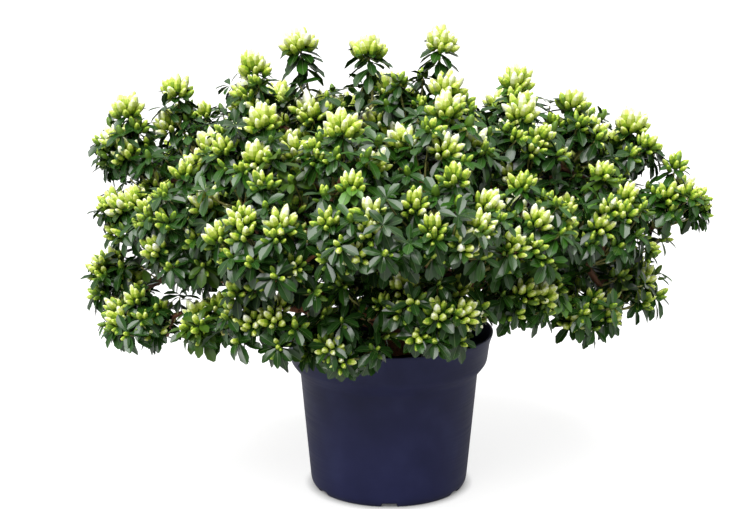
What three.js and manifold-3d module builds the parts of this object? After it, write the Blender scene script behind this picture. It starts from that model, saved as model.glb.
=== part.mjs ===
// Evergreen azalea in bud, growing in a round plastic nursery pot.
//
// Millimetres, +Z up. The origin is the centre of the pot's underside, on the ground. The front of the
// plant faces -Y, and +X is to its right as seen from there. Headings are degrees anticlockwise from +X,
// seen from above: 0 is right, 90 back, 180 left and 270 front.

import * as THREE from 'three';
import { mergeVertices } from 'three/addons/utils/BufferGeometryUtils.js';
import Module from 'manifold-3d';

const wasm = await Module();
wasm.setup();

// ---------------------------------------------------------------------------------------------------
// Driving dimensions
// ---------------------------------------------------------------------------------------------------

const CLEARANCE = 0.3;         // left between two solids that touch

const POT_HEIGHT = 200;
const POT_SIDES = 24;
const LIP_RADIUS = 130;        // outermost, round the rolled lip
const LIP_DEPTH = 9;
const LIP_EDGE = 3;            // height over which the lip is rounded off, above and below
const BAND_TOP_RADIUS = 125.5; // the deep band under the lip
const BAND_FOOT_RADIUS = 122.6;
const BAND_FOOT_LEVEL = 162;
const BODY_TOP_RADIUS = 111;
const BASE_RADIUS = 97.6;      // where the straight taper would reach the ground
const FOOT_RADIUS = 93.5;      // of the flat foot ring, inside the rounded bottom edge
const FOOT_ROUNDING = 7;
const WALL = 2.2;
const STEP_DEPTH = 15;         // height of the sloping shoulder between body and band
const SHOULDER_EDGE = [1.3, 3.5]; // where its outer edge starts to round over: inside and below the band

const CHANNEL_HEIGHT = 5;      // the floor is raised this far between centre pad and foot ring
const CHANNEL_SLOPE = 3;       // and its sides lean out this far
const PAD_RADIUS = 38;
const FOOT_RING_WIDTH = 7;
const NOTCH_COUNT = 6;         // drainage notches through the foot ring
const NOTCH_WIDTH = 18;
const NOTCH_LENGTH = 28;       // along its heading, from the channel to beyond the wall
const DRAIN_HOLE_RADIUS = 6;
const DRAIN_HOLE_SIDES = 8;
const DRAIN_HOLE_REACH = 64;

const COMPOST_LEVEL = 172;
const COMPOST_EDGE_DROP = 4;   // the surface is lower round the wall
const COMPOST_CROWN_RADIUS = 60;

const STOCK_RADIUS = 15;       // the short woody stock that all the boughs leave
const STOCK_TAPER = 2;         // lost from foot to top
const STOCK_FLARE = 9;         // extra radius where it meets the compost
const STOCK_FLARE_POWER = 4;   // how quickly the flare dies away upwards
const STOCK_TOP = 222;
const STOCK_LEAN = [4, -6];    // how far its top stands from its foot, along X and Y
const STOCK_SIDES = 10;
const STOCK_STEPS = 5;

const BOUGH_SIDES = 6;
const BOUGH_STEPS = 5;
const BOUGH_TIP_RADIUS = 3.2;
const BOUGH_TAPER_POWER = 0.8; // under 1, a bough thins more quickly near its foot

const MASS_SHAPE = { outward: 0.95, around: 1.06, above: 0.84, below: 0.66 }; // times a mass's spread
const MASS_BUMPS = 9;
const MASS_BUMP_SIZE = [-0.2, 0.34]; // the deepest hollow and the highest swelling, times its spread
const BUMP_SHARPNESS = 6;
const FINE_MASS_SPREAD = 76;         // masses wider than this have the finer skin
const POT_MARGIN = 1.5;              // between foliage and pot
const FIRST_SEED = 11;

// Boughs: name, what it leaves and how far along, then its tip's heading, reach from the axis and level,
// how far its middle is lifted (or sunk) from the straight line, and its radius at the foot.
const BOUGHS = [
  ['bough_left', 'stock', 0.72, 186, 284, 316, -22, 8.5],
  ['bough_right', 'stock', 0.66, 341, 264, 316, 14, 8.5],
  ['bough_front_left', 'stock', 0.58, 239, 232, 330, -6, 7.5],
  ['bough_front_right', 'stock', 0.8, 285, 228, 334, -6, 7.5],
  ['bough_back_left', 'stock', 0.62, 113, 252, 332, -8, 8],
  ['bough_back_right', 'stock', 0.78, 66, 252, 332, -8, 8],
  ['leader_left', 'stock', 0.95, 170, 92, 445, 0, 8],
  ['leader_right', 'stock', 0.9, 8, 60, 450, 0, 8],
  ['bough_left_high', 'bough_left', 0.36, 176, 224, 392, 4, 6],
  ['bough_left_sweep', 'bough_left', 0.3, 193, 268, 234, 14, 5.5],
  ['bough_right_high', 'bough_right', 0.3, 1, 218, 414, 6, 6],
  ['bough_right_sweep', 'bough_right', 0.42, 339, 222, 242, 10, 5.5],
];

// Foliage masses, tier by tier: name, heading and reach of the centre, its level and its spread, which is
// its mean half width. Last, on a mass that stands upright, how many times taller it is than the others.
const MASSES = {
  low: [
    ['left', 190, 306, 230, 54],
    ['far_left', 175, 342, 259, 46, 1.3],
    ['left_front', 217, 264, 255, 44],
    ['front_left', 238, 262, 270, 57],
    ['front', 254, 206, 250, 64],
    ['front_right', 282, 230, 290, 66],
    ['right_front', 313, 226, 294, 56],
    ['right', 340, 256, 250, 49],
    ['far_right', 357, 300, 260, 46, 1.15],
    ['right_back', 28, 280, 258, 70],
    ['back_right', 64, 282, 264, 71],
    ['back_left', 103, 284, 262, 71],
    ['left_back', 143, 286, 260, 70],
  ],
  middle: [
    ['left', 180, 304, 350, 64],
    ['left_front', 209, 266, 352, 70],
    ['front_left', 240, 268, 378, 74],
    ['front', 262, 272, 384, 72],
    ['front_right', 284, 260, 388, 74],
    ['right_front', 308, 242, 368, 72],
    ['right', 341, 262, 352, 70],
    ['far_right', 1, 347, 370, 51],
    ['right_back', 33, 286, 362, 84],
    ['back_right', 69, 284, 370, 80],
    ['back_left', 108, 284, 364, 80],
    ['left_back', 146, 284, 360, 84],
  ],
  high: [
    ['far_left', 172, 326, 425, 51, 1.2],
    ['left', 166, 275, 456, 35, 1.5],
    ['left_inner', 184, 214, 397, 59],
    ['front_left', 224, 190, 437, 72],
    ['front', 255, 197, 440, 68],
    ['front_right', 291, 162, 448, 76],
    ['right_front', 338, 164, 438, 66],
    ['right', 1, 226, 445, 56],
    ['far_right', 5, 296, 422, 51],
    ['right_back', 44, 200, 417, 72],
    ['back', 92, 172, 432, 75],
    ['left_back', 134, 190, 424, 67],
  ],
  top: [
    ['left', 172, 160, 491, 43],
    ['centre_left', 170, 98, 463, 55],
    ['centre', 75, 28, 458, 47],
    ['centre_right', 8, 60, 472, 49],
    ['right', 11, 158, 482, 37],
  ],
  tip: [
    ['left', 165, 112, 536, 26, 2.3],
    ['centre', 124, 47, 521, 25, 2.3],
    ['right', 26, 68, 520, 25, 2.3],
  ],
};

const UP = new THREE.Vector3(0, 0, 1);

const material = (color, roughness, metalness = 0) =>
  new THREE.MeshStandardMaterial({ color, roughness, metalness });
const potPlastic = material(0x23264f, 0.42);
const compost = material(0x1d1612, 0.95);
const bark = material(0x6f4a37, 0.8);
const foliage = material(0x2f4a33, 0.5);

// ---------------------------------------------------------------------------------------------------
// Solids: closed meshes that can be cut and joined
// ---------------------------------------------------------------------------------------------------

/** The solid inside a closed geometry: vertices merged, flat triangles dropped, faces turned out. */
function solid(geometry) {
  geometry.deleteAttribute('normal');
  geometry.deleteAttribute('uv');
  const merged = mergeVertices(geometry, 1e-3);
  const points = merged.attributes.position.array;
  const corner = (i) => new THREE.Vector3().fromArray(points, 3 * i);
  const triangles = [];
  let volume = 0;
  for (let i = 0; i < merged.index.count; i += 3) {
    const [a, b, c] = merged.index.array.slice(i, i + 3);
    if (a === b || b === c || c === a) continue;
    triangles.push([a, b, c]);
    volume += corner(a).dot(corner(b).cross(corner(c)));
  }
  if (volume < 0) triangles.forEach((triangle) => triangle.reverse());
  return new wasm.Manifold(new wasm.Mesh({
    numProp: 3,
    vertProperties: new Float32Array(points),
    triVerts: new Uint32Array(triangles.flat()),
  }));
}

/** Cuts each of the tools out of a body, and keeps the largest piece that is left. */
function cut(body, tools) {
  const rest = tools.reduce((left, tool) => left.subtract(tool), body);
  return rest.decompose().reduce((best, piece) => (piece.volume() > best.volume() ? piece : best));
}

/** A named mesh of a solid. */
function mesh(name, body, look) {
  const { vertProperties, triVerts } = body.getMesh();
  const geometry = new THREE.BufferGeometry();
  geometry.setAttribute('position', new THREE.BufferAttribute(new Float32Array(vertProperties), 3));
  geometry.setIndex(new THREE.BufferAttribute(new Uint32Array(triVerts), 1));
  const part = new THREE.Mesh(geometry, look);
  part.name = name;
  return part;
}

/** A profile of [radius, level] pairs turned about the Z axis. */
function turned(profile, sides) {
  const points = profile.map(([radius, level]) => new THREE.Vector2(radius, level));
  return solid(new THREE.LatheGeometry(points, sides).rotateX(Math.PI / 2));
}

/** Where a heading, a reach from the axis and a level lead. */
function place(heading, reach, level) {
  const turn = THREE.MathUtils.degToRad(heading);
  return new THREE.Vector3(reach * Math.cos(turn), reach * Math.sin(turn), level);
}

/** A repeatable run of numbers from 0 to 1, each worked out from the one before. */
function numbers(seed) {
  const factor = 1664525;
  const step = 1013904223;
  const range = 2 ** 32;
  let state = seed;
  return () => {
    state = (state * factor + step) % range;
    return state / range;
  };
}

// ---------------------------------------------------------------------------------------------------
// Pot and compost
// ---------------------------------------------------------------------------------------------------

/** Radius of the pot's tapering body at a level, on the outside. */
function bodyRadius(level) {
  const rise = BAND_FOOT_LEVEL - STEP_DEPTH;
  return BASE_RADIUS + ((BODY_TOP_RADIUS - BASE_RADIUS) * level) / rise;
}

/** The thin wall, with its rolled lip, band and raised floor, before any hole is made. */
function potShell() {
  const channelEnd = FOOT_RADIUS - FOOT_RING_WIDTH;
  const overhang = bodyRadius(FOOT_ROUNDING) - FOOT_RADIUS;
  const floor = CHANNEL_HEIGHT + WALL;
  const lipFoot = POT_HEIGHT - LIP_DEPTH;
  const shoulder = BAND_FOOT_LEVEL - STEP_DEPTH;
  return turned([
    [0, 0],
    [PAD_RADIUS, 0],
    [PAD_RADIUS + CHANNEL_SLOPE, CHANNEL_HEIGHT],
    [channelEnd - CHANNEL_SLOPE, CHANNEL_HEIGHT],
    [channelEnd, 0],
    [FOOT_RADIUS, 0],
    [FOOT_RADIUS + overhang * Math.SQRT1_2, FOOT_ROUNDING * (1 - Math.SQRT1_2)],
    [bodyRadius(FOOT_ROUNDING), FOOT_ROUNDING],
    [bodyRadius(shoulder), shoulder],
    [BAND_FOOT_RADIUS - SHOULDER_EDGE[0], BAND_FOOT_LEVEL - SHOULDER_EDGE[1]],
    [BAND_FOOT_RADIUS, BAND_FOOT_LEVEL],
    [BAND_TOP_RADIUS, lipFoot],
    [LIP_RADIUS - LIP_EDGE / 4, lipFoot + LIP_EDGE / 2],
    [LIP_RADIUS, POT_HEIGHT - LIP_EDGE],
    [LIP_RADIUS - LIP_EDGE / 2, POT_HEIGHT],
    [BAND_TOP_RADIUS - WALL, POT_HEIGHT],
    [BAND_FOOT_RADIUS - WALL, BAND_FOOT_LEVEL + WALL / 2],
    [bodyRadius(shoulder) - WALL, shoulder + WALL / 2],
    [bodyRadius(FOOT_ROUNDING + floor) - WALL, FOOT_ROUNDING + floor],
    [FOOT_RADIUS - WALL, floor],
    [PAD_RADIUS + CHANNEL_SLOPE - WALL / 2, floor],
    [PAD_RADIUS - WALL / 2, WALL],
    [0, WALL],
  ], POT_SIDES);
}

/** The blocks that open the drainage notches, and the plugs that open the drain holes between them. */
function drainTools() {
  const holeRadius = DRAIN_HOLE_RADIUS;
  const plugLength = 4 * (CHANNEL_HEIGHT + WALL);
  const tools = [];
  for (let i = 0; i < NOTCH_COUNT; i += 1) {
    const heading = 270 + (360 * i) / NOTCH_COUNT;
    const notch = new THREE.BoxGeometry(NOTCH_LENGTH, NOTCH_WIDTH, 2 * CHANNEL_HEIGHT);
    const along = place(heading, BASE_RADIUS, 0);
    notch.rotateZ(THREE.MathUtils.degToRad(heading)).translate(along.x, along.y, 0);
    const between = place(heading + 180 / NOTCH_COUNT, DRAIN_HOLE_REACH, 0);
    const hole = new THREE.CylinderGeometry(holeRadius, holeRadius, plugLength, DRAIN_HOLE_SIDES);
    hole.rotateX(Math.PI / 2).translate(between.x, between.y, 0);
    tools.push(solid(notch), solid(hole));
  }
  return tools;
}

/** The space that leaves and twigs stay out of: the whole pot, with nothing left open in it. */
function potSpace(margin) {
  return turned([
    [0, -margin],
    [BASE_RADIUS + margin, -margin],
    [BODY_TOP_RADIUS + margin, BAND_FOOT_LEVEL - STEP_DEPTH - margin],
    [BAND_FOOT_RADIUS + margin, BAND_FOOT_LEVEL - margin],
    [LIP_RADIUS + margin, POT_HEIGHT - LIP_DEPTH - margin],
    [LIP_RADIUS + margin, POT_HEIGHT + margin],
    [0, POT_HEIGHT + margin],
  ], POT_SIDES);
}

/** Moist compost that fills the pot to below the lip, its surface level round the stock. */
function compostFill() {
  const floor = CHANNEL_HEIGHT + WALL + CLEARANCE;
  const inside = WALL + 2 * CLEARANCE;
  const shoulder = BAND_FOOT_LEVEL - STEP_DEPTH;
  const edge = COMPOST_LEVEL - COMPOST_EDGE_DROP;
  return turned([
    [0, WALL + CLEARANCE],
    [PAD_RADIUS - WALL, WALL + CLEARANCE],
    [PAD_RADIUS + CHANNEL_SLOPE - WALL, floor],
    [FOOT_RADIUS - inside, floor],
    [bodyRadius(FOOT_ROUNDING + floor) - inside, FOOT_ROUNDING + floor],
    [bodyRadius(shoulder) - inside, shoulder + WALL / 2 + CLEARANCE],
    [BAND_FOOT_RADIUS - inside, BAND_FOOT_LEVEL + WALL / 2 + CLEARANCE],
    [BAND_FOOT_RADIUS - inside, edge],
    [COMPOST_CROWN_RADIUS, COMPOST_LEVEL],
    [0, COMPOST_LEVEL],
  ], POT_SIDES);
}

// ---------------------------------------------------------------------------------------------------
// Stock and boughs
// ---------------------------------------------------------------------------------------------------

/** A limb along a curve, its radius given by a function of how far along it is, from 0 to 1. */
function limb(curve, radiusAt, sides, steps, extra = 0) {
  const rows = new THREE.CylinderGeometry(1, 1, 1, sides, steps);
  const frames = curve.computeFrenetFrames(steps, false);
  const position = rows.attributes.position;
  for (let i = 0; i < position.count; i += 1) {
    const along = position.getY(i) + 0.5;
    const row = Math.round(along * steps);
    const radius = radiusAt(along) + extra;
    const point = curve.getPointAt(along)
      .addScaledVector(frames.normals[row], radius * position.getX(i))
      .addScaledVector(frames.binormals[row], radius * position.getZ(i));
    if (row === steps) point.addScaledVector(frames.tangents[row], extra);
    position.setXYZ(i, point.x, point.y, point.z);
  }
  return solid(rows);
}

const limbs = {};

// The stock rises from a flat, level cut on the compost, flared at the foot and leaning a little.
const stockCurve = new THREE.LineCurve3(
  new THREE.Vector3(0, 0, COMPOST_LEVEL + CLEARANCE),
  new THREE.Vector3(STOCK_LEAN[0], STOCK_LEAN[1], STOCK_TOP),
);
const stockRadius = (along) =>
  STOCK_RADIUS - STOCK_TAPER * along + STOCK_FLARE * (1 - along) ** STOCK_FLARE_POWER;
const belowStock = beyond(stockCurve.getPoint(0), UP.clone().negate());
limbs.stock = {
  curve: stockCurve,
  body: cut(limb(stockCurve, stockRadius, STOCK_SIDES, STOCK_STEPS), [belowStock]),
  grown: limb(stockCurve, stockRadius, STOCK_SIDES, STOCK_STEPS, CLEARANCE),
};

/** A bough leaves its parent part of the way along, bows, and tapers to its tip. */
function addBough([name, parent, fraction, heading, reach, level, lift, radius]) {
  const start = limbs[parent].curve.getPointAt(fraction);
  const tip = place(heading, reach, level);
  const control = start.clone().lerp(tip, 0.5);
  control.z += 2 * lift; // the curve rises half as far from its chord as its control point does
  const curve = new THREE.QuadraticBezierCurve3(start, control, tip);
  const taper = (along) => radius + (BOUGH_TIP_RADIUS - radius) * along ** BOUGH_TAPER_POWER;
  const whole = limb(curve, taper, BOUGH_SIDES, BOUGH_STEPS);
  const grown = limb(curve, taper, BOUGH_SIDES, BOUGH_STEPS, CLEARANCE);
  const earlier = Object.values(limbs).map((other) => other.grown);
  limbs[name] = { curve, body: cut(whole, earlier), grown };
}

// ---------------------------------------------------------------------------------------------------
// Foliage
// ---------------------------------------------------------------------------------------------------

/** An uneven, dome-topped ball of leaves. Each bump swells or sinks the skin round one direction. */
function ballOfLeaves([heading, reach, level, spread, tall = 1], seed) {
  const random = numbers(seed);
  const bumps = Array.from({ length: MASS_BUMPS }, () => ({
    way: new THREE.Vector3(random() - 0.5, random() - 0.5, random() - 0.5).normalize(),
    size: THREE.MathUtils.lerp(...MASS_BUMP_SIZE, random()),
  }));
  const ball = new THREE.IcosahedronGeometry(1, spread > FINE_MASS_SPREAD ? 2 : 1);
  const centre = place(heading, reach, level);
  const turn = THREE.MathUtils.degToRad(heading);
  const position = ball.attributes.position;
  const way = new THREE.Vector3();
  for (let i = 0; i < position.count; i += 1) {
    way.fromBufferAttribute(position, i).normalize();
    const rise = (bump) => bump.size * Math.exp(BUMP_SHARPNESS * (way.dot(bump.way) - 1));
    const swell = bumps.reduce((sum, bump) => sum + rise(bump), 1);
    const point = way.clone().multiplyScalar(spread * swell);
    point.x *= MASS_SHAPE.outward;
    point.y *= MASS_SHAPE.around;
    point.z *= tall * (way.z > 0 ? MASS_SHAPE.above : MASS_SHAPE.below);
    point.applyAxisAngle(UP, turn).add(centre);
    position.setXYZ(i, point.x, point.y, point.z);
  }
  return { centre, points: Array.from(position.array), body: solid(ball) };
}

/** How far a mass reaches from its centre along a direction. */
function reachAlong({ centre, points }, way) {
  let most = 0;
  for (let i = 0; i < points.length; i += 3) {
    most = Math.max(most, new THREE.Vector3().fromArray(points, i).sub(centre).dot(way));
  }
  return most;
}

/** A block that fills everything beyond a point, along a direction. */
function beyond(point, way) {
  const size = 2 * LIP_RADIUS + POT_HEIGHT;
  const block = new THREE.BoxGeometry(size, size, size).translate(0, 0, size / 2);
  block.applyQuaternion(new THREE.Quaternion().setFromUnitVectors(UP, way));
  return solid(block.translate(point.x, point.y, point.z));
}

/** Parts two masses that run into each other with a flat face between them. */
function partMasses(one, other) {
  if (one.body.intersect(other.body).volume() === 0) return;
  const way = other.centre.clone().sub(one.centre);
  const distance = way.length();
  way.normalize();
  const back = way.clone().negate();
  const share = reachAlong(one, way) / (reachAlong(one, way) + reachAlong(other, back));
  const face = one.centre.clone().addScaledVector(way, share * distance);
  one.body = cut(one.body, [beyond(face.clone().addScaledVector(back, CLEARANCE / 2), way)]);
  other.body = cut(other.body, [beyond(face.clone().addScaledVector(way, CLEARANCE / 2), back)]);
}

// ---------------------------------------------------------------------------------------------------
// The plant in its pot
// ---------------------------------------------------------------------------------------------------

const group = new THREE.Group();
group.add(mesh('pot', cut(potShell(), drainTools()), potPlastic));
group.add(mesh('compost', compostFill(), compost));
BOUGHS.forEach(addBough);
for (const [name, { body }] of Object.entries(limbs)) group.add(mesh(name, body, bark));

const masses = [];
for (const [tier, rows] of Object.entries(MASSES)) {
  for (const [name, ...sizes] of rows) {
    const ball = ballOfLeaves(sizes, FIRST_SEED + masses.length);
    masses.forEach((earlier) => partMasses(earlier, ball));
    masses.push({ name: `foliage_${tier}_${name}`, ...ball });
  }
}
const keptClear = [potSpace(POT_MARGIN), ...Object.values(limbs).map((part) => part.grown)];
for (const { name, body } of masses) group.add(mesh(name, cut(body, keptClear), foliage));

export default group;
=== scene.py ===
"""Evergreen azalea in bud, growing in a round moulded nursery pot.

Metres, +Z up. The origin is the centre of the pot's underside, and the plant's front faces -Y. Sizes that
makers and growers give in millimetres are written as numbers times MM.
"""

import bpy
import numpy as np
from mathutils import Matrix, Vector
from mathutils.bvhtree import BVHTree


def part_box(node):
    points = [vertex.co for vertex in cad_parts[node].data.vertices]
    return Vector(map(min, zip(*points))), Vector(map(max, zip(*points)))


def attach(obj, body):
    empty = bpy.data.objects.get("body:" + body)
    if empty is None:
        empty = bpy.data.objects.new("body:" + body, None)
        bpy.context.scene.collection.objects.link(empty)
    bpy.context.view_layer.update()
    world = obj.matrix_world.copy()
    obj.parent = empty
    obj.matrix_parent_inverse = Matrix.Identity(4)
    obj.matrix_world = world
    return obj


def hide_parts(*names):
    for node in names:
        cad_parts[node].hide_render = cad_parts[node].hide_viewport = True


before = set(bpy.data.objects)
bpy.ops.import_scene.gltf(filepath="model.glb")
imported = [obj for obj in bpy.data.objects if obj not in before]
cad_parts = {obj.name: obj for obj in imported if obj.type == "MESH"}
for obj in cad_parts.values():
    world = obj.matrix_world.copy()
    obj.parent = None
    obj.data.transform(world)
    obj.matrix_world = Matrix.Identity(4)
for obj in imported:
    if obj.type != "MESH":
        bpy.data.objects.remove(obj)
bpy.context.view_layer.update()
MM = 0.001

# ------------ Studio ------------
# The potted plant stands on a wide white table top, in a white room that is dimmer behind the camera, under
# a great softbox that fills most of the ceiling. The camera looks slightly down on it.

CAMERA_PLACE = (-0.015, -2.2, 0.805)
CAMERA_TILT = 76.96
CAMERA_LENS = 87.18
ROOM_LIGHT = (0.05, 0.8)  # brightness of the room behind the camera, and behind the plant
ROOM_DEPTHS = (-1.0, 0.05)  # how far back each lies, from -1 behind the camera to 1 behind the plant
CEILING_LIGHT = 5.5
CEILING_SPREAD = 60  # degrees that the softbox spans, seen from the plant
CEILING_TILT = (30, -14)
TABLE_HALF_WIDTH = 30.0
TABLE_GLOW = (0.12, 0.74)  # light that the table gives the plant, and gives the eye: its shadow stays pale
CONTACT_SHADE = 12 * MM  # painted contact shade: the table's glow fades under the pot, and as far as this round its foot


def linear(colour):
    """An sRGB hex colour as linear RGBA: c/12.92 below 0.04045, else ((c + 0.055)/1.055)^2.4."""
    srgb = np.array([int(colour[i:i + 2], 16) for i in (1, 3, 5)]) / 255
    rgb = np.where(srgb <= 0.04045, srgb / 12.92, ((srgb + 0.055) / 1.055) ** 2.4)
    return (*rgb.tolist(), 1.0)


def material(name, colour, roughness, **sockets):
    """A Principled material with plain values on the shader's own sockets. Returns it and its shader."""
    made = bpy.data.materials.new(name)
    made.use_nodes = True
    made.diffuse_color = linear(colour)
    shader = made.node_tree.nodes["Principled BSDF"]
    shader.inputs["Base Color"].default_value = linear(colour)
    shader.inputs["Roughness"].default_value = roughness
    for socket, value in sockets.items():
        shader.inputs[socket.replace("_", " ")].default_value = value
    return made, shader


def piece(name, points, faces, materials, slots=None, smooth=True):
    """A mesh object from arrays: points (n, 3), faces (m, 3 or 4), and a material slot for each face."""
    mesh = bpy.data.meshes.new(name)
    corners = faces.shape[1]
    mesh.vertices.add(len(points))
    mesh.vertices.foreach_set("co", points.astype(np.float32).ravel())
    mesh.loops.add(faces.size)
    mesh.loops.foreach_set("vertex_index", faces.astype(np.int32).ravel())
    mesh.polygons.add(len(faces))
    mesh.polygons.foreach_set("loop_start", np.arange(0, faces.size, corners, dtype=np.int32))
    for look in materials:
        mesh.materials.append(look)
    if slots is not None:
        mesh.polygons.foreach_set("material_index", slots.astype(np.int32))
    mesh.polygons.foreach_set("use_smooth", np.full(len(faces), smooth))
    mesh.update(calc_edges=True)
    mesh.validate()
    made = bpy.data.objects.new(name, mesh)
    bpy.context.scene.collection.objects.link(made)
    return made


def add(tree, kind, links=(), settings=(), stops=(), **values):
    """Adds a node. Links feed its inputs, settings are its properties, stops are the (position, hex colour)
    pairs of a ramp, and values are plain inputs. Returns its outputs."""
    made = tree.nodes.new(kind)
    for name, source in dict(links).items():
        tree.links.new(made.inputs[name], source)
    for name, value in dict(settings).items():
        setattr(made, name, value)
    for position, colour in stops:
        made.color_ramp.elements.new(position).color = linear(colour)
    for end in (0, -1)[:len(stops)]:
        made.color_ramp.elements.remove(made.color_ramp.elements[end])
    for name, value in values.items():
        made.inputs[name.replace("_", " ")].default_value = value
    return made.outputs


camera = bpy.data.objects.new("camera", bpy.data.cameras.new("camera"))
camera.location = CAMERA_PLACE
camera.rotation_euler = (np.radians(CAMERA_TILT), 0, 0)
camera.data.lens = CAMERA_LENS
bpy.context.scene.collection.objects.link(camera)
bpy.context.scene.camera = camera
bpy.context.scene.view_settings.view_transform = "Standard"

# The walls light the plant unevenly, and are plain white to the camera.
room = bpy.data.worlds.new("white_room")
room.use_nodes = True
walls = room.node_tree
direction = add(walls, "ShaderNodeTexCoord")["Generated"]
depth_of_room = add(walls, "ShaderNodeSeparateXYZ", {"Vector": direction})["Y"]
glow = add(walls, "ShaderNodeMapRange", {"Value": depth_of_room}, From_Min=ROOM_DEPTHS[0],
           From_Max=ROOM_DEPTHS[1], To_Min=ROOM_LIGHT[0], To_Max=ROOM_LIGHT[1])["Result"]
lit_walls = add(walls, "ShaderNodeBackground", {"Strength": glow}, Color=linear("#ffffff"))["Background"]
seen_walls = add(walls, "ShaderNodeBackground", Color=linear("#ffffff"))["Background"]
by_eye = add(walls, "ShaderNodeLightPath")["Is Camera Ray"]
both_walls = add(walls, "ShaderNodeMixShader", {"Fac": by_eye, 1: lit_walls, 2: seen_walls})["Shader"]
walls.links.new(walls.nodes["World Output"].inputs["Surface"], both_walls)
bpy.context.scene.world = room

ceiling = bpy.data.objects.new("ceiling_softbox", bpy.data.lights.new("ceiling_softbox", "SUN"))
ceiling.data.energy = CEILING_LIGHT
ceiling.data.angle = np.radians(CEILING_SPREAD)
ceiling.rotation_euler = np.radians([*CEILING_TILT, 0])
bpy.context.scene.collection.objects.link(ceiling)

# Matt white paint on the table. It is evenly bright to the eye, with a pale soft shadow, and its glow is
# dimmed near the pot's foot into a painted contact shadow, a dark line where the pot stands on it.
table_paint, table_shader = material("white_table_paint", "#9c9c9b", 0.6, Emission_Color=linear("#ffffff"))
paint = table_paint.node_tree
table_by_eye = add(paint, "ShaderNodeLightPath")["Is Camera Ray"]
even_glow = add(paint, "ShaderNodeMapRange", {"Value": table_by_eye}, To_Min=TABLE_GLOW[0],
                To_Max=TABLE_GLOW[1])["Result"]
# Painted contact shade: ambient occlusion dims the table's glow near the pot's foot.
painted_contact_shade = add(paint, "ShaderNodeAmbientOcclusion", Distance=CONTACT_SHADE)["AO"]
glow_with_painted_shade = add(paint, "ShaderNodeMath", {0: even_glow, 1: painted_contact_shade}, {"operation": "MULTIPLY"})["Value"]
paint.links.new(table_shader.inputs["Emission Strength"], glow_with_painted_shade)
corner = np.array([(-1, -1, 0), (1, -1, 0), (1, 1, 0), (-1, 1, 0)]) * TABLE_HALF_WIDTH
piece("table_top", corner, np.array([[0, 1, 2, 3]]), [table_paint])

# ------------ Pot ------------
# A thin-walled grower's pot, injection-moulded in one piece of navy polypropylene. A deep band stands out
# under its flared lip, and six drainage notches run through the ring that it stands on.

pot_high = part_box("pot")[1]
LIP_RADIUS = pot_high.x
POT_HEIGHT = pot_high.z
WALL = 2.2 * MM
LIP_FLARE = np.array([(184, 4.5), (188, 3.6), (191, 2.7), (194, 1.5), (196.5, 0.5)]) * MM  # level, inset
BAND_FOOT = (122.6 * MM, 162 * MM)
BODY_TOP = (111 * MM, 147 * MM)
BODY_FOOT = (98.2 * MM, 7 * MM)
FOOT_RADIUS = 93.5 * MM
FOOT_RING_WIDTH = 7 * MM
CHANNEL_HEIGHT = 5 * MM
CHANNEL_SLOPE = 3 * MM
PAD_RADIUS = 38 * MM
NOTCH_WIDTH = 18 * MM
NOTCH_SLOPE = 1 * MM
NOTCH_COUNT = 6
POT_HEADINGS = 288
OUTER_ROUNDS = np.array([1, 1, 1, 1, 2, 6, 3.5, 4.5, 1, 1, 1, 1, 1, 1.4]) * MM
INNER_ROUNDS = np.array([1, 1, 1, 1, 1, 2, 2, 3, 4, 1, 1]) * MM


def rounded(corners, radii, steps=5):
    """A polyline with its corners rounded: each corner is swapped for the curve that a point follows as it
    slides from one leg to the other, (1-t)^2 a + 2t(1-t) corner + t^2 b, with a and b a radius away, or
    0.45 of the leg where that is less."""
    corners = np.asarray(corners, float)
    t = np.linspace(0, 1, steps)[:, None]
    out = [corners[:1]]
    for before, corner, after, radius in zip(corners, corners[1:], corners[2:], radii):
        legs = np.array([before - corner, after - corner])
        lengths = np.linalg.norm(legs, axis=1, keepdims=True)
        a, b = corner + legs / lengths * np.minimum(radius, 0.45 * lengths)
        out.append((1 - t) ** 2 * a + 2 * t * (1 - t) * corner + t ** 2 * b)
    out.append(corners[-1:])
    return np.concatenate(out)


def ring_faces(rows, sides):
    """Triangles over a stack of rings, with a fan to a point at each end. The first ring's end point comes
    straight after the rings, and the last ring's comes next."""
    index = np.arange(rows * sides).reshape(rows, sides)
    along = np.roll(index, -1, axis=1)
    first, last = np.full(sides, rows * sides), np.full(sides, rows * sides + 1)
    corners = ((index[:-1], along[:-1], along[1:]), (index[:-1], along[1:], index[1:]),
               (first, along[0], index[0]), (last, index[-1], along[-1]))
    return np.concatenate([np.stack(three, axis=-1).reshape(-1, 3) for three in corners])


def turned(profile, headings, reshape=None):
    """A profile of (radius, level) rows, carried round the Z axis: x = r cos h, y = r sin h, z = level. Both
    ends lie on the axis, as one point each. Reshape may move the grid of radii, levels and headings."""
    heading = np.linspace(0, 2 * np.pi, headings, endpoint=False)
    radius = np.repeat(profile[1:-1, :1], headings, axis=1)
    level = np.repeat(profile[1:-1, 1:], headings, axis=1)
    if reshape is not None:
        radius, level = reshape(radius, level, heading[None, :])
    grid = np.stack([radius * np.cos(heading), radius * np.sin(heading), level], axis=-1)
    ends = np.array([[0, 0, profile[0, 1]], [0, 0, profile[-1, 1]]])
    return np.concatenate([grid.reshape(-1, 3), ends]), ring_faces(len(profile) - 2, headings)


def open_notches(radius, level, heading):
    """Lifts the foot ring to the channel's height across each notch: level = max(level, lift)."""
    turn = 2 * np.pi / NOTCH_COUNT
    off = (heading - 1.5 * np.pi + turn / 2) % turn - turn / 2
    edge = (NOTCH_WIDTH / 2 - np.abs(off) * FOOT_RADIUS) / NOTCH_SLOPE
    lift = CHANNEL_HEIGHT * np.clip(edge + 0.5, 0, 1)
    in_ring = radius > FOOT_RADIUS - FOOT_RING_WIDTH - CHANNEL_SLOPE
    return radius, np.where(in_ring, np.maximum(level, lift), level)


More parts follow.
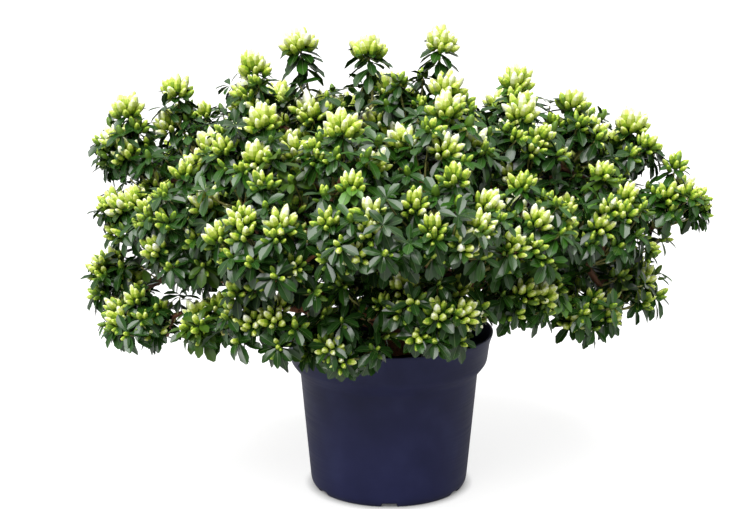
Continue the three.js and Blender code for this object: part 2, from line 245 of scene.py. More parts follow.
channel_end = FOOT_RADIUS - FOOT_RING_WIDTH
floor_level = CHANNEL_HEIGHT + WALL
flare = np.stack([LIP_RADIUS - LIP_FLARE[:, 1], LIP_FLARE[:, 0]], axis=-1)
outside = rounded(
    [(0, 0), (PAD_RADIUS, 0), (PAD_RADIUS + CHANNEL_SLOPE, CHANNEL_HEIGHT),
     (channel_end - CHANNEL_SLOPE, CHANNEL_HEIGHT), (channel_end, 0), (FOOT_RADIUS, 0), BODY_FOOT,
     BODY_TOP, BAND_FOOT, *flare, (LIP_RADIUS, POT_HEIGHT), (LIP_RADIUS - WALL, POT_HEIGHT)], OUTER_ROUNDS)
inside = rounded(
    [(LIP_RADIUS - WALL, POT_HEIGHT), *(flare[::-1] - (WALL, 0)),
     (BAND_FOOT[0] - WALL, BAND_FOOT[1] + WALL / 2), (BODY_TOP[0] - WALL, BODY_TOP[1] + WALL / 2),
     (BODY_FOOT[0] - WALL, BODY_FOOT[1] + floor_level), (FOOT_RADIUS - WALL, floor_level),
     (PAD_RADIUS + CHANNEL_SLOPE - WALL / 2, floor_level), (PAD_RADIUS - WALL / 2, WALL), (0, WALL)],
    INNER_ROUNDS)
pot_points, pot_faces = turned(np.concatenate([outside, inside[1:]]), POT_HEADINGS, open_notches)


def moulded_polypropylene():
    """Navy polypropylene with a satin moulded skin. Its pigment is even, with a faint cloudiness where the
    melt flowed. Rubbing against other pots in the stack leaves level scratches, 1.4 mm apart, and the grain
    of the mould is drawn 1.5 mm coarse. Both are finer in life, and are drawn so that they show."""
    made, shader = material("moulded_navy_polypropylene", "#1e2145", 0.4, Specular_IOR_Level=0.2)
    tree = made.node_tree
    place = add(tree, "ShaderNodeTexCoord")["Object"]
    cloud = add(tree, "ShaderNodeTexNoise", {"Vector": place}, Scale=1 / (45 * MM), Detail=3.0)["Fac"]
    pigment = add(tree, "ShaderNodeValToRGB", {"Fac": cloud},
                  stops=[(0.3, "#1a1d3f"), (0.55, "#1f2246"), (0.75, "#25294d")])["Color"]
    tree.links.new(shader.inputs["Base Color"], pigment)
    level = add(tree, "ShaderNodeMapping", {"Vector": place}, Scale=(6.0, 6.0, 700.0))["Vector"]
    scratch = add(tree, "ShaderNodeTexNoise", {"Vector": level}, Scale=1.0, Detail=2.0)["Fac"]
    gloss = add(tree, "ShaderNodeMapRange", {"Value": scratch}, From_Min=0.3, From_Max=0.75, To_Min=0.38,
                To_Max=0.5)["Result"]
    tree.links.new(shader.inputs["Roughness"], gloss)
    grain = add(tree, "ShaderNodeTexNoise", {"Vector": place}, Scale=1 / (1.5 * MM), Detail=2.0)["Fac"]
    bump = add(tree, "ShaderNodeBump", {"Height": grain}, Strength=0.12, Distance=0.1 * MM)["Normal"]
    tree.links.new(shader.inputs["Normal"], bump)
    return made


pot = piece("nursery_pot", pot_points, pot_faces, [moulded_polypropylene()])
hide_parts("pot")
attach(pot, "root")

# ------------ Compost ------------
# Moist peat and composted bark fill the pot to a finger below its lip. It is poured and pressed down by
# hand, so it lies in soft lumps, with loose crumbs of bark on top.

compost_low, compost_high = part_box("compost")
COMPOST_LEVEL = compost_high.z
COMPOST_RADIUS = compost_high.x
COMPOST_EDGE_DROP = 4 * MM
COMPOST_SINK = 1.5 * MM  # keeps the highest lumps inside the compost's own box
COMPOST_RINGS = 60
COMPOST_HEADINGS = 144
LUMP_SIZE = 11 * MM
LUMP_HEIGHT = 1.4 * MM  # and small lumps are a third as wide and half as high
CRUMB_COUNT = 900
CRUMB_SIZES = (1.4 * MM, 4.2 * MM)


def waves(points, size, count=12, seed=1):
    """Smooth noise, about -1 to 1: the mean of sines whose crests lie about one size apart, in random
    directions, times 2."""
    random = np.random.default_rng(seed)
    ways = random.normal(size=(count, points.shape[-1]))
    ways *= random.uniform(0.6, 1.6, (count, 1)) / np.linalg.norm(ways, axis=1, keepdims=True)
    phases = random.uniform(0, 2 * np.pi, count)
    return 2 * np.sin(2 * np.pi / (2 * size) * points @ ways.T + phases).mean(axis=-1)


def compost_surface(radius, level, heading):
    """Lumps on the upper rows only: level - sink - drop towards the edge + waves of two sizes."""
    heading = heading + 0 * radius
    flat = np.stack([radius * np.cos(heading), radius * np.sin(heading)], axis=-1)
    lumps = LUMP_HEIGHT * (waves(flat, LUMP_SIZE, seed=2) + 0.5 * waves(flat, LUMP_SIZE / 3, seed=3))
    drop = COMPOST_EDGE_DROP * (radius / COMPOST_RADIUS) ** 2
    top = level > COMPOST_LEVEL - 1 * MM
    return radius, np.where(top, level - COMPOST_SINK - drop + lumps * (radius < COMPOST_RADIUS), level)


compost_wall = [(0, compost_low.z + WALL), (BODY_FOOT[0] - 2 * WALL, compost_low.z + 3 * WALL),
                (BODY_TOP[0] - 2 * WALL, BODY_TOP[1] + WALL), (COMPOST_RADIUS, BAND_FOOT[1] + 2 * WALL)]
compost_top = [(radius, COMPOST_LEVEL) for radius in np.linspace(COMPOST_RADIUS, 0, COMPOST_RINGS)]
compost_points, compost_faces = turned(np.array(compost_wall + compost_top), COMPOST_HEADINGS,
                                       compost_surface)


def repeated(faces, count, corners):
    """A template's faces for each of its copies, whose points follow each other."""
    return (faces[None] + (np.arange(count) * corners)[:, None, None]).reshape(-1, faces.shape[1])


def crumbs(points, faces, places, seed):
    """Copies of a small solid, each turned and stretched at random, with its middle at one of the places:
    place + (point * size * a share of it on each axis) turned."""
    random = np.random.default_rng(seed)
    count = len(places)
    turns = np.linalg.qr(random.normal(size=(count, 3, 3)))[0]
    turns *= np.sign(np.linalg.det(turns))[:, None, None]
    stretch = random.uniform(*CRUMB_SIZES, (count, 1, 1)) * random.uniform(0.5, 1, (count, 1, 3))
    copies = (points[None] * stretch) @ turns + places[:, None]
    return copies.reshape(-1, 3), repeated(faces, count, len(points))


random = np.random.default_rng(4)
octahedron = np.concatenate([np.eye(3), -np.eye(3)]) / 2
octahedron_faces = np.array([(0, 1, 2), (1, 3, 2), (3, 4, 2), (4, 0, 2),
                             (1, 0, 5), (3, 1, 5), (4, 3, 5), (0, 4, 5)])
crumb_reach = (COMPOST_RADIUS - 4 * MM) * np.sqrt(random.random(CRUMB_COUNT))
crumb_heading = random.uniform(0, 2 * np.pi, CRUMB_COUNT)
crumb_level = compost_surface(crumb_reach, np.full(CRUMB_COUNT, COMPOST_LEVEL), crumb_heading)[1]
crumb_places = np.stack([crumb_reach * np.cos(crumb_heading), crumb_reach * np.sin(crumb_heading),
                         crumb_level], axis=-1)
crumb_points, crumb_faces = crumbs(octahedron, octahedron_faces, crumb_places, 5)


def peat():
    """Damp peat: nearly black and matt, with fibres and bark of warmer brown a few millimetres across."""
    made, shader = material("damp_peat", "#17110d", 0.92)
    tree = made.node_tree
    place = add(tree, "ShaderNodeTexCoord")["Object"]
    fibre = add(tree, "ShaderNodeTexNoise", {"Vector": place}, Scale=1 / (4 * MM), Detail=5.0)["Fac"]
    brown = add(tree, "ShaderNodeValToRGB", {"Fac": fibre},
                stops=[(0.35, "#0d0a08"), (0.55, "#1c140f"), (0.75, "#3a281c")])["Color"]
    tree.links.new(shader.inputs["Base Color"], brown)
    bump = add(tree, "ShaderNodeBump", {"Height": fibre}, Strength=0.6, Distance=0.6 * MM)["Normal"]
    tree.links.new(shader.inputs["Normal"], bump)
    return made


compost = piece("compost_surface",
                np.concatenate([compost_points, crumb_points]),
                np.concatenate([compost_faces, crumb_faces + len(compost_points)]), [peat()])
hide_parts("compost")
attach(compost, "root")

# ------------ Stock and boughs ------------
# The woody frame of the plant: a short stock with a flared foot, ten spreading boughs and two leaders. They
# are living stems under thin reddish-brown bark that cracks lengthwise and swells at each old leaf joint.

RING_GAP = 12 * MM  # rings of a limb's solid stand further apart than this
LIMB_FLARE = 1.3  # how much wider a limb is where it leaves its parent
LIMB_STEP = 3.5 * MM
LIMB_SIDES = 20
CROOK_SIZE = 2.2 * MM  # how far a limb wanders from its course
CROOK_LENGTH = 42 * MM
KNOT_SPACING = 26 * MM
KNOT_SWELL = 0.09  # relief of the bark, as shares of the limb's radius
RIDGE_SWELL = 0.06
ROUGH_SWELL = 0.05
STOCK_ROWS = 22
STOCK_SIDES = 28
STOCK_CROWN = 4 * MM  # the stock runs on this far into the boughs
STOCK_JOINTS = 12  # places up the stock that a limb may leave from
CROOK_START = 8  # a limb begins to wander over its first few steps


def node_points(name):
    """All the points of a CAD node's mesh, in its own order."""
    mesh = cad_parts[name].data
    points = np.empty(len(mesh.vertices) * 3, np.float32)
    mesh.vertices.foreach_get("co", points)
    return points.reshape(-1, 3)


def corner_points(name):
    """The corners of a CAD node, each once."""
    return np.unique(node_points(name).round(6).astype(float), axis=0)


def unit(vectors):
    """Vectors scaled to length 1."""
    return vectors / np.maximum(np.linalg.norm(vectors, axis=-1, keepdims=True), 1e-9)


def spline(knots, steps, before=None):
    """A Catmull-Rom curve through knots (rows of any width): 0.5(2b + (c-a)t + (2a-5b+4c-d)t^2 +
    (3b-a-3c+d)t^3) on each span b to c, with the given number of steps on each span."""
    first = 2 * knots[0] - knots[1] if before is None else before
    padded = np.concatenate([[first], knots, [2 * knots[-1] - knots[-2]]])
    span = np.repeat(np.arange(len(steps)), steps)
    t = np.concatenate([np.arange(n) / n for n in steps])[:, None]
    a, b, c, d = (padded[span + i] for i in range(4))
    square, cube = 2 * a - 5 * b + 4 * c - d, 3 * b - a - 3 * c + d
    return np.concatenate([0.5 * (2 * b + (c - a) * t + square * t ** 2 + cube * t ** 3), knots[-1:]])


def tube(path, radius, sides, swell=None):
    """A closed tube: path(s) + r(s, h) (cos h N + sin h B), with N and B square to the path and held level by
    one fixed direction. A point closes its foot, and another, 0.6 of a radius on, its tip. Swell may scale
    the grid of radii."""
    tangent = unit(np.gradient(path, axis=0))
    chord = unit(path[-1] - path[0])
    level = unit(np.cross(chord, np.eye(3)[np.argmin(np.abs(chord))]))
    normal = unit(np.cross(tangent, level))
    binormal = np.cross(tangent, normal)
    heading = np.linspace(0, 2 * np.pi, sides, endpoint=False)
    reach = np.repeat(radius[:, None], sides, axis=1)
    if swell is not None:
        reach = reach * swell
    ring = (np.cos(heading)[None, :, None] * normal[:, None]
            + np.sin(heading)[None, :, None] * binormal[:, None])
    grid = (path[:, None] + reach[..., None] * ring).reshape(-1, 3)
    end = path[-1] + tangent[-1] * radius[-1] * 0.6
    return np.concatenate([grid, path[:1], end[None]]), ring_faces(len(path), sides)


def joined(parts):
    """Several (points, faces) meshes as one."""
    starts = np.cumsum([0] + [len(points) for points, _ in parts[:-1]])
    return (np.concatenate([points for points, _ in parts]),
            np.concatenate([faces + start for (_, faces), start in zip(parts, starts)]))


def limb_rings(name):
    """The middle and the radius of each whole ring of a limb's solid, from the foot out."""
    points = corner_points(name)
    stock_top = np.array(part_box("stock")[1])
    away = np.linalg.norm(points - stock_top, axis=1)
    foot, tip = points[np.argmin(away)], points[np.argmax(away)]
    along = (points - foot) @ unit(tip - foot)
    points = points[np.argsort(along)]
    groups = np.split(points, np.nonzero(np.diff(np.sort(along)) > RING_GAP)[0] + 1)
    middles = np.array([group.mean(axis=0) for group in groups])
    radii = [np.linalg.norm(group - middle, axis=1).max() for group, middle in zip(groups, middles)]
    return middles, np.array(radii)


stock_points = corner_points("stock")
stock_level = stock_points[:, 2]
stock_foot = stock_points[stock_level < stock_level.min() + 1 * MM].mean(axis=0)
stock_head = stock_points[stock_level > stock_level.max() - 3 * MM].mean(axis=0)
stock_rim = stock_points[stock_level > stock_head[2] - 3 * MM]
stock_radius = np.linalg.norm(stock_rim - stock_head, axis=1).max()
limbs = {"stock": (np.linspace(stock_foot, stock_head, STOCK_JOINTS), np.full(STOCK_JOINTS, stock_radius))}
LIMB_NAMES = [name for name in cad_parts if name.startswith(("bough", "leader"))]
for name in sorted(LIMB_NAMES, key=lambda name: (name.count("_"), name)):
    middles, radii = limb_rings(name)
    parents = np.concatenate([path for path, _ in limbs.values()])
    joint = parents[np.argmin(np.linalg.norm(parents - middles[0], axis=1))]
    middles[0] = joint
    radii[0] = LIMB_FLARE * radii[1]
    spans = np.linalg.norm(np.diff(middles, axis=0), axis=1)
    rows = spline(np.column_stack([middles, radii]), np.ceil(spans / LIMB_STEP).astype(int))
    limbs[name] = (rows[:, :3], rows[:, 3])


def bark_swell(path, sides, seed):
    """Relief of old bark as a share of the radius: 1 + joints + lengthwise ridges + fine roughness."""
    run = np.concatenate([[0], np.cumsum(np.linalg.norm(np.diff(path, axis=0), axis=1))])[:, None]
    heading = np.linspace(0, 2 * np.pi, sides, endpoint=False)[None, :]
    around = np.stack(np.broadcast_arrays(np.cos(heading), np.sin(heading), run / KNOT_SPACING), axis=-1)
    joints = KNOT_SWELL * np.exp(-((run % KNOT_SPACING) / KNOT_SPACING - 0.5) ** 2 / 0.02)
    ridges = RIDGE_SWELL * waves(around * (2.2, 2.2, 0.35), 0.5, seed=seed)
    rough = ROUGH_SWELL * waves(around * (3, 3, 4), 0.5, seed=seed + 1)
    return 1 + joints + ridges + rough


def bark():
    """Azalea bark: thin, matt and reddish brown, greyer on old wood, with darker cracks that run lengthwise
    about 2 mm apart."""
    made, shader = material("azalea_bark", "#6d4a38", 0.78)
    tree = made.node_tree
    place = add(tree, "ShaderNodeTexCoord")["Object"]
    patch = add(tree, "ShaderNodeTexNoise", {"Vector": place}, Scale=1 / (14 * MM), Detail=3.0)["Fac"]
    brown = add(tree, "ShaderNodeValToRGB", {"Fac": patch},
                stops=[(0.3, "#5c3a28"), (0.5, "#825033"), (0.7, "#957052")])["Color"]
    crack = add(tree, "ShaderNodeTexNoise", {"Vector": place}, Scale=1 / (2 * MM), Detail=4.0,
                Distortion=0.6)["Fac"]
    dark = add(tree, "ShaderNodeValToRGB", {"Fac": crack},
               stops=[(0.35, "#4c382c"), (0.5, "#ffffff")])["Color"]
    both = add(tree, "ShaderNodeMix", {6: brown, 7: dark}, {"data_type": "RGBA", "blend_type": "MULTIPLY"},
               Factor=0.8)[2]
    tree.links.new(shader.inputs["Base Color"], both)
    bump = add(tree, "ShaderNodeBump", {"Height": crack}, Strength=0.5, Distance=0.5 * MM)["Normal"]
    tree.links.new(shader.inputs["Normal"], bump)
    return made


bark_look = bark()
# The stock's radius is 1.15 - 0.3 t^3 + 0.6 (1 - t)^4 of its solid's: a flared foot and a rounded head.
stock_rise = np.linspace(0, 1, STOCK_ROWS)
stock_path = stock_foot + stock_rise[:, None] * (stock_head + (0, 0, STOCK_CROWN) - stock_foot)
stock_taper = stock_radius * (1.15 - 0.3 * stock_rise ** 3 + 0.6 * (1 - stock_rise) ** 4)
stock_mesh = tube(stock_path, stock_taper, STOCK_SIDES, bark_swell(stock_path, STOCK_SIDES, 7))
stock = piece("woody_stock", *stock_mesh, [bark_look])
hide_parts("stock")
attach(stock, "root")

for order, (name, (path, radius)) in enumerate(list(limbs.items())[1:]):
    sway = np.stack([waves(path, CROOK_LENGTH, seed=20 + 3 * order + axis) for axis in range(3)], -1)
    path = path + CROOK_SIZE * sway * np.minimum(np.arange(len(path)) / CROOK_START, 1)[:, None]
    limbs[name] = (path, radius)
bough_meshes = [tube(path, radius, LIMB_SIDES, bark_swell(path, LIMB_SIDES, 60 + 2 * order))
                for order, (path, radius) in enumerate(list(limbs.values())[1:])]
boughs = piece("boughs", *joined(bough_meshes), [bark_look])
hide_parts(*LIMB_NAMES)
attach(boughs, "root")

# Twigs grow from the outer three quarters of each limb.
limb_runs = [[rows[len(path) // 4:] for rows in (path, unit(np.gradient(path, axis=0)), radius)]
             for path, radius in list(limbs.values())[1:]]
limb_points, limb_way, limb_radius = (np.concatenate(rows) for rows in zip(*limb_runs))

# ------------ Shoots ------------
# An evergreen azalea carries its leaves and buds on short shoots at the skin of the crown, where light
# reaches. Each shoot turns up towards the light, and the best lit ones end in a truss of flower buds.

TIERS = ("low", "middle", "high", "top", "tip")
HIGH, TIP = TIERS.index("high"), TIERS.index("tip")
GOLDEN_ANGLE = np.pi * (3 - np.sqrt(5))
CANDIDATES = 9000  # places on the skin that shoots are picked from
JOIN_GAP = 5 * MM  # where two masses lie nearer than this there is no skin
POT_GAP = 6 * MM  # nor is there where a mass lies this near the pot
LIGHT_RAYS = 26
LIGHT_RISE = (-0.2, 0.98)  # sines of the heights that light comes from
LIGHT_REACH = 230 * MM
HEAD_ROOM = 110 * MM  # a mass has a head where nothing lies this near above it
HEAD_RIPENESS = (0.75, 1)
LOWER_HEADS = 0.7  # how ripe the heads of low and middle masses are beside the others
RIPE_LEVELS = (0.2, 0.54)  # buds are ripest high in the crown
LOW_RIPENESS = 0.48  # and at least this ripe, as a rule, at its foot
RIPE_WEIGHTS = (0.9, 0.35)  # of that rule, and of light
RIPE_SPREAD = 0.28
RIPE_LEAD = 0.35  # a truss is never riper than the rule by more than this
LATE_SHARE = 0.3  # share of the shoots whose buds are late, and so few and green
LATE_RIPENESS = 0.3  # and how ripe those are beside the others
TRUSS_WEIGHTS = (0.25, 0.5, 0.3)  # beside light, trusses favour an upward skin, ripeness and chance
TRUSS_LIMITS = (0.03, -0.9)  # no truss has less light, or faces down more steeply
TRUSS_SPACING = (25 * MM, 25 * MM)  # between the least ripe trusses, and what ripeness adds to it
FLAT_SPACING = 8 * MM  # and this much further apart on the flat top of a mass
TRUSS_RISE = (13 * MM, 22 * MM)  # height of the least ripe truss, and what ripeness adds to it
HEAD_RISE = 0.6  # share of it that counts for a head, but for the topmost three
UNDERSIDE_LOSS = 0.7  # share of it that a truss which faces straight down goes without
SHOOT_LIGHT = 0.06  # leafy shoots have more light than this
SHOOT_SPACING = 25 * MM
DIM_LIGHT = 0.4  # shoots stand further apart where they see less of the sky than this
DIM_SPACING = 32 * MM
SHOOT_DEPTH = (5 * MM, 30 * MM)
SUMMIT_DEPTH = 16 * MM  # shoots under an upward skin lie this much deeper, and leave it to trusses
DROOP_DEPTH = 14 * MM  # those over a downward skin lie higher in it, since their leaves hang
OPEN_REACH = 90 * MM  # both only where no other mass lies this near across a gap
INNER_SPACING = 30 * MM
INNER_DEPTH = (34 * MM, 70 * MM)
INNER_SHARE = 0.6  # and at most this share of the way to the mass's far side
THIN_SPRAY = 75 * MM  # masses thinner than this are open, with no shoots inside
SHADED_SPACING = 28 * MM
SHADED_TRIES = 12000
SHADE_REACH = 400 * MM
DEEP_SHADE = (0.67, 0.96)  # share of all directions that the crown hides from a shaded shoot
UNDER_LEVEL = 0.35  # below this level shoots live in lighter shade too
UNDER_SHADE = 0.55
HALF_SHADE = 0.76  # where less than this is hidden, some shaded shoots carry small buds
HALF_SHADE_SHARE = 0.6
HALF_SHADE_RIPENESS = 0.45
BARE_MARGIN = 14 * MM  # limbs are bare of shoots this far round them
POT_MARGIN = 14 * MM
GROWTH_WEIGHTS = (0.55, 0.75)  # a shoot grows to the light, up, and outward by one of the next three
GROWTH_OUTWARD = (0.2, 0.5, 0.7)  # trusses, more for those on an underside, and leafy shoots
GROWTH_SPREAD = 0.16
HEAD_GROWTH = (0.15, 0.05)  # a head grows straight up, but for this much outward, and this spread
SHOOT_LENGTH = (16 * MM, 30 * MM)
TRUSS_STRETCH = 1.25  # shoots under a truss are this much longer
HEAD_LENGTH = 36 * MM
TIP_LENGTH = 62 * MM


def crown_triangles():
    """The corners of every triangle of the foliage masses, and the tier that each belongs to."""
    corners, tiers = [], []
    for name in FOLIAGE:
        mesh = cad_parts[name].data
        index = np.empty(len(mesh.loops), np.int32)
        mesh.loops.foreach_get("vertex_index", index)
        corners.append(node_points(name)[index].reshape(-1, 3, 3).astype(float))
        tiers.append(np.full(len(corners[-1]), TIERS.index(name.split("_")[1])))
    return np.concatenate(corners), np.concatenate(tiers)


def clear_way(starts, ways, reach):
    """True where a ray from a start meets no foliage mass within this reach."""
    ways = np.broadcast_to(ways, starts.shape)
    return np.array([crown.ray_cast(p, way, reach)[0] is None for p, way in zip(starts, ways)])


def near_pot(points, margin):
    """True where a point is inside the pot's outline grown by a margin."""
    reach = np.linalg.norm(points[:, :2], axis=1)
    return (points[:, 2] < POT_HEIGHT + margin) & (reach < LIP_RADIUS + margin)


def depth_in_crown(points):
    """How deep each point lies inside the foliage masses: negative outside them."""
    found = [crown.find_nearest(p) for p in points]
    return np.array([(place - Vector(p)).dot(out) for p, (place, out, _, _) in zip(points, found)])


def nearest(points, others):
    """The number of the nearest of the others to each point."""
    return np.array([np.argmin(((others - p) ** 2).sum(axis=1)) for p in points], int)


def spread_out(points, order, spacing, taken=None):
    """Picks points in order, leaving out each that lies nearer than its spacing to one already picked."""
    kept = np.zeros((0, 3)) if taken is None else taken
    spacing = np.broadcast_to(spacing, len(points))
    picked = []
    for i in order:
        if len(kept) == 0 or np.min(((kept - points[i]) ** 2).sum(axis=1)) > spacing[i] ** 2:
            kept = np.vstack([kept, points[i]])
            picked.append(i)
    return np.array(picked, int)


FOLIAGE = [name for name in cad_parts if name.startswith("foliage_")]
triangles, triangle_tiers = crown_triangles()
crown = BVHTree.FromPolygons(triangles.reshape(-1, 3).tolist(),
                             np.arange(3 * len(triangles)).reshape(-1, 3).tolist())
square = np.cross(triangles[:, 1] - triangles[:, 0], triangles[:, 2] - triangles[:, 0])
area = np.linalg.norm(square, axis=1) / 2
random = np.random.default_rng(13)
chosen = random.choice(len(area), CANDIDATES, p=area / area.sum())
share = random.dirichlet((1, 1, 1), CANDIDATES)
skin = (share[..., None] * triangles[chosen]).sum(axis=1)
skin_out = unit(square[chosen])
skin_tier = triangle_tiers[chosen]
free = clear_way(skin + 0.2 * MM * skin_out, skin_out, JOIN_GAP)
free &= ~near_pot(skin, POT_GAP) & (skin_tier < TIP)
skin, skin_out, skin_tier = skin[free], skin_out[free], skin_tier[free]

turn = np.arange(LIGHT_RAYS) * GOLDEN_ANGLE
rise = np.linspace(*LIGHT_RISE, LIGHT_RAYS)
sky = np.stack([np.sqrt(1 - rise ** 2) * np.cos(turn), np.sqrt(1 - rise ** 2) * np.sin(turn), rise], -1)
lit = np.column_stack([clear_way(skin + 2 * MM * skin_out, way, LIGHT_REACH) for way in sky])
light = lit.mean(axis=1)
towards = unit(lit @ sky + 1e-6)
radial = unit(skin * (1, 1, 0))
skin_rise = skin_out[:, 2]
summit, underside = skin_rise.clip(0), (-skin_rise).clip(0)

# The head of each mass that stands clear carries a ripe truss, and the best lit places between follow.
head_tier = np.array([TIERS.index(name.split("_")[1]) for name in FOLIAGE])
boxes = np.array([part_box(name) for name in FOLIAGE])
head_place = np.column_stack([boxes[:, :, :2].mean(axis=1), boxes[:, 1, 2]])
clear = clear_way(head_place + (0, 0, 1 * MM), (0, 0, 1), HEAD_ROOM)
head_tier, head_place = head_tier[clear], head_place[clear]
head_ripe = np.where(head_tier == TIP, 1, random.uniform(*HEAD_RIPENESS, len(head_tier)))
head_ripe *= np.where(head_tier < HIGH, LOWER_HEADS, 1)

usual = ((skin[:, 2] - RIPE_LEVELS[0]) / (RIPE_LEVELS[1] - RIPE_LEVELS[0])).clip(LOW_RIPENESS, 1)
ripe = (RIPE_WEIGHTS[0] * usual + RIPE_WEIGHTS[1] * (light - 0.5)
        + random.normal(0, RIPE_SPREAD, len(skin)))
ripe = np.minimum(ripe, usual + RIPE_LEAD).clip(0, 1)
ripe *= np.where(random.random(len(skin)) < LATE_SHARE, LATE_RIPENESS, 1)
favours = np.column_stack([skin_rise, ripe, random.random(len(skin))])
truss_order = np.argsort(-(light + favours @ TRUSS_WEIGHTS))
fit = (light > TRUSS_LIMITS[0]) & (skin_rise > TRUSS_LIMITS[1])
truss_order = truss_order[fit[truss_order]]
truss_room = TRUSS_SPACING[0] + TRUSS_SPACING[1] * ripe + FLAT_SPACING * summit
truss_picks = spread_out(skin, truss_order, truss_room, head_place)
truss_ripe = np.concatenate([head_ripe, ripe[truss_picks]])
truss_place = np.concatenate([head_place, skin[truss_picks]])
truss_out = np.concatenate([np.tile((0, 0, 1), (len(head_tier), 1)), skin_out[truss_picks]])
truss_sunk = TRUSS_RISE[0] + TRUSS_RISE[1] * truss_ripe
truss_sunk[:len(head_tier)] *= np.where(head_tier == TIP, 1, HEAD_RISE)
truss_sunk *= 1 - UNDERSIDE_LOSS * (-truss_out[:, 2]).clip(0)
inward = unit(truss_out * (1, 1, 0.5) + truss_out[:, 2:].clip(0) * (0, 0, 1))
truss_tip = truss_place - truss_sunk[:, None] * inward

# Leafy shoots fill the rest of the skin, and older ones lie behind them.
opens = clear_way(skin + 1 * MM * skin_out, skin_out, OPEN_REACH)
drop = opens * (SUMMIT_DEPTH * summit + DROOP_DEPTH * underside)
shoot_places = skin - (random.uniform(*SHOOT_DEPTH, len(skin)) + drop)[:, None] * skin_out
shoot_order = [i for i in random.permutation(len(skin)) if light[i] > SHOOT_LIGHT]
shoot_room = np.where(light < DIM_LIGHT, DIM_SPACING, SHOOT_SPACING)
shoot_picks = spread_out(shoot_places, shoot_order, shoot_room, truss_tip)

far_side = [crown.ray_cast(p - 0.5 * MM * n, -n, 2 * INNER_DEPTH[1])[3] for p, n in zip(skin, skin_out)]
far_side = np.array([2 * INNER_DEPTH[1] if gap is None else gap for gap in far_side])
inner_depth = np.minimum(random.uniform(*INNER_DEPTH, len(skin)), INNER_SHARE * far_side)
inner_places = skin - inner_depth[:, None] * skin_out
inner_order = [i for i in random.permutation(len(skin)) if far_side[i] > THIN_SPRAY]
inner_picks = spread_out(inner_places, inner_order, INNER_SPACING,
                         np.concatenate([truss_tip, shoot_places[shoot_picks]]))

# The oldest stand in the shade between and behind the masses.
shaded = random.uniform(triangles.min(axis=(0, 1)), triangles.max(axis=(0, 1)), (SHADED_TRIES, 3))
shaded = shaded[shaded[:, 2] > POT_HEIGHT + POT_MARGIN]
to_limb = np.linalg.norm(limb_points[nearest(shaded, limb_points)] - shaded, axis=1)
shaded = shaded[to_limb > BARE_MARGIN]
ball = np.concatenate([sky, -sky])[::2]
cover = np.mean([~clear_way(shaded, way, SHADE_REACH) for way in ball], axis=0)
dark = (cover > np.where(shaded[:, 2] < UNDER_LEVEL, UNDER_SHADE, DEEP_SHADE[0])) & (cover < DEEP_SHADE[1])
shaded, cover = shaded[dark], cover[dark]
placed = np.concatenate([truss_tip, shoot_places[shoot_picks], inner_places[inner_picks]])
shaded_picks = spread_out(shaded, range(len(shaded)), SHADED_SPACING, placed)
shaded, cover = shaded[shaded_picks], cover[shaded_picks]
half_lit = (cover < HALF_SHADE) & (random.random(len(shaded)) < HALF_SHADE_SHARE)

# Kind 0 ends in a truss, kind 1 is a leafy shoot at the skin, and kind 2 an older one behind it.
tip = np.concatenate([placed, shaded])
kind = np.repeat([0, 1, 2, 2], [len(truss_tip), len(shoot_picks), len(inner_picks), len(shaded)])
kind[len(placed):][half_lit] = 0
ripeness = np.concatenate([truss_ripe, np.zeros(len(tip) - len(truss_ripe))])
ripeness[len(placed):] = random.uniform(0, HALF_SHADE_RIPENESS, len(shaded))
picks = np.concatenate([nearest(head_place, skin), truss_picks, shoot_picks, inner_picks,
                        nearest(shaded, skin)])
tier = skin_tier[picks]
tier[:len(head_tier)] = head_tier
is_head = np.arange(len(tip)) < len(head_tier)
outward = np.where(kind == 0, GROWTH_OUTWARD[0] + GROWTH_OUTWARD[1] * underside[picks], GROWTH_OUTWARD[2])
growth = unit(GROWTH_WEIGHTS[0] * towards[picks] + outward[:, None] * radial[picks]
              + (0, 0, GROWTH_WEIGHTS[1]) + random.normal(0, GROWTH_SPREAD, (len(tip), 3)))
growth[is_head] = unit(np.array([0, 0, 1]) + HEAD_GROWTH[0] * radial[picks][is_head]
                       + random.normal(0, HEAD_GROWTH[1], (len(head_tier), 3)))
shoot_length = random.uniform(*SHOOT_LENGTH, len(tip)) * np.where(kind == 0, TRUSS_STRETCH, 1)
shoot_length[is_head] = np.where(head_tier == TIP, TIP_LENGTH, HEAD_LENGTH)
in_shade = np.arange(len(tip)) >= len(placed)
clear = ~near_pot(tip, POT_MARGIN) & (is_head | (kind == 2) | in_shade | (depth_in_crown(tip) > -1 * MM))
tip, kind, ripeness, tier, growth, is_head, in_shade, shoot_length = (
    rows[clear] for rows in (tip, kind, ripeness, tier, growth, is_head, in_shade, shoot_length))
base = tip - shoot_length[:, None] * growth

# ------------ Branching ------------
# Each season a shoot stops at its tip and two to six new ones grow from just below it. So shoots meet at
# forks, forks meet at lower forks, and each joins the nearest limb by the shortest way that turns little.

FORK_SPACING = 50 * MM
FORK_DROP = 26 * MM
LOWER_FORK_SPACING = 105 * MM
LOWER_FORK_DROP = 52 * MM
LIMB_PULL = (1, 1.4)  # how much a fork, and a lower fork, leans to the limb beside half its own way
TURN_COST = 0.8
LENGTH_COST = 0.35
MEMORY = 0.4  # how much of its parent's direction a fork keeps
FORK_LEAN = 0.6  # how much a shoot leans away from its fork, beside its own growth
ONWARD = 0.7  # and how much of that growth counts beside the straight way from the fork
TIP_LOAD = 3.5  # a shoot that tops the plant feeds on as much wood as this many leafy ones
TRUSS_LOAD = 1.6  # and one with a truss, as this many


